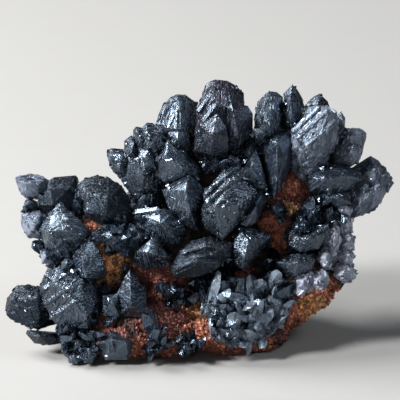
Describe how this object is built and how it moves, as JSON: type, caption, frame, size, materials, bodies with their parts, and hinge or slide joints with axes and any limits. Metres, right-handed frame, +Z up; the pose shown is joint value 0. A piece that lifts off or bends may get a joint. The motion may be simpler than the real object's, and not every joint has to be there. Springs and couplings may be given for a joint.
{
  "type": "descloizite specimen",
  "caption": "Mineral specimen: dark, wedge-shaped descloizite crystals crowded over a lump of ochre limonite, resting on a flat broken base.",
  "frame": {"origin": "on the flat underside, under the middle of the specimen", "axes": "+Z up, +X along the specimen's long side, with the display side facing -Y"},
  "size_m": [0.0778, 0.0459, 0.0507],
  "materials": {
    "limonite": "rough",
    "descloizite": "semi-gloss"
  },
  "bodies": {
    "root": {"limonite_matrix": "limonite", "left_tip_crystal": "descloizite", "left_blade": "descloizite", "left_foot_crystal": "descloizite", "left_slab": "descloizite", "left_roof_wedge": "descloizite", "left_disc": "descloizite", "middle_bevelled_wedge": "descloizite", "left_pointing_crystal": "descloizite", "small_roof_crystal": "descloizite", "blue_facet_crystal": "descloizite", "crest_fan": "descloizite", "crest_chisel": "descloizite", "crest_slate_crystal": "descloizite", "kite_blade": "descloizite", "crown": "descloizite", "crest_bevelled_peak": "descloizite", "crest_pointed_peak": "descloizite", "crest_back_crystal": "descloizite", "crest_stepped_crystal": "descloizite", "right_pale_tip": "descloizite", "heart_hanging_spear": "descloizite", "heart_triangle_blade": "descloizite", "right_shoulder": "descloizite", "right_fluted_wing": "descloizite", "right_lens": "descloizite", "stacked_crystal": "descloizite", "curved_ridge_crystal": "descloizite", "heart_dark_blade": "descloizite", "lower_right_blade": "descloizite", "shell_fan": "descloizite", "striped_crystal": "descloizite", "serrated_crystal": "descloizite", "low_left_crystal": "descloizite", "bright_wedge": "descloizite", "toe_blades": "descloizite", "left_recess_crystal": "descloizite", "fan_foot_crystal": "descloizite", "crown_foot_crystal": "descloizite", "crest_gap_crystal": "descloizite", "heart_band_crystal": "descloizite", "right_recess_crystal": "descloizite", "lower_druse": "descloizite", "lilac_druse": "descloizite", "right_edge_druse": "descloizite", "toe_druse": "descloizite", "toe_ledge": "descloizite", "toe_slate_ledge": "descloizite", "back_crown_crystal": "descloizite", "back_crest_crystal": "descloizite", "back_right_crystal": "descloizite", "back_middle_crystal": "descloizite", "back_left_crystal": "descloizite", "back_low_crystal": "descloizite", "back_shoulder_crystal": "descloizite", "back_tail_crystal": "descloizite"}
  },
  "joints": []
}
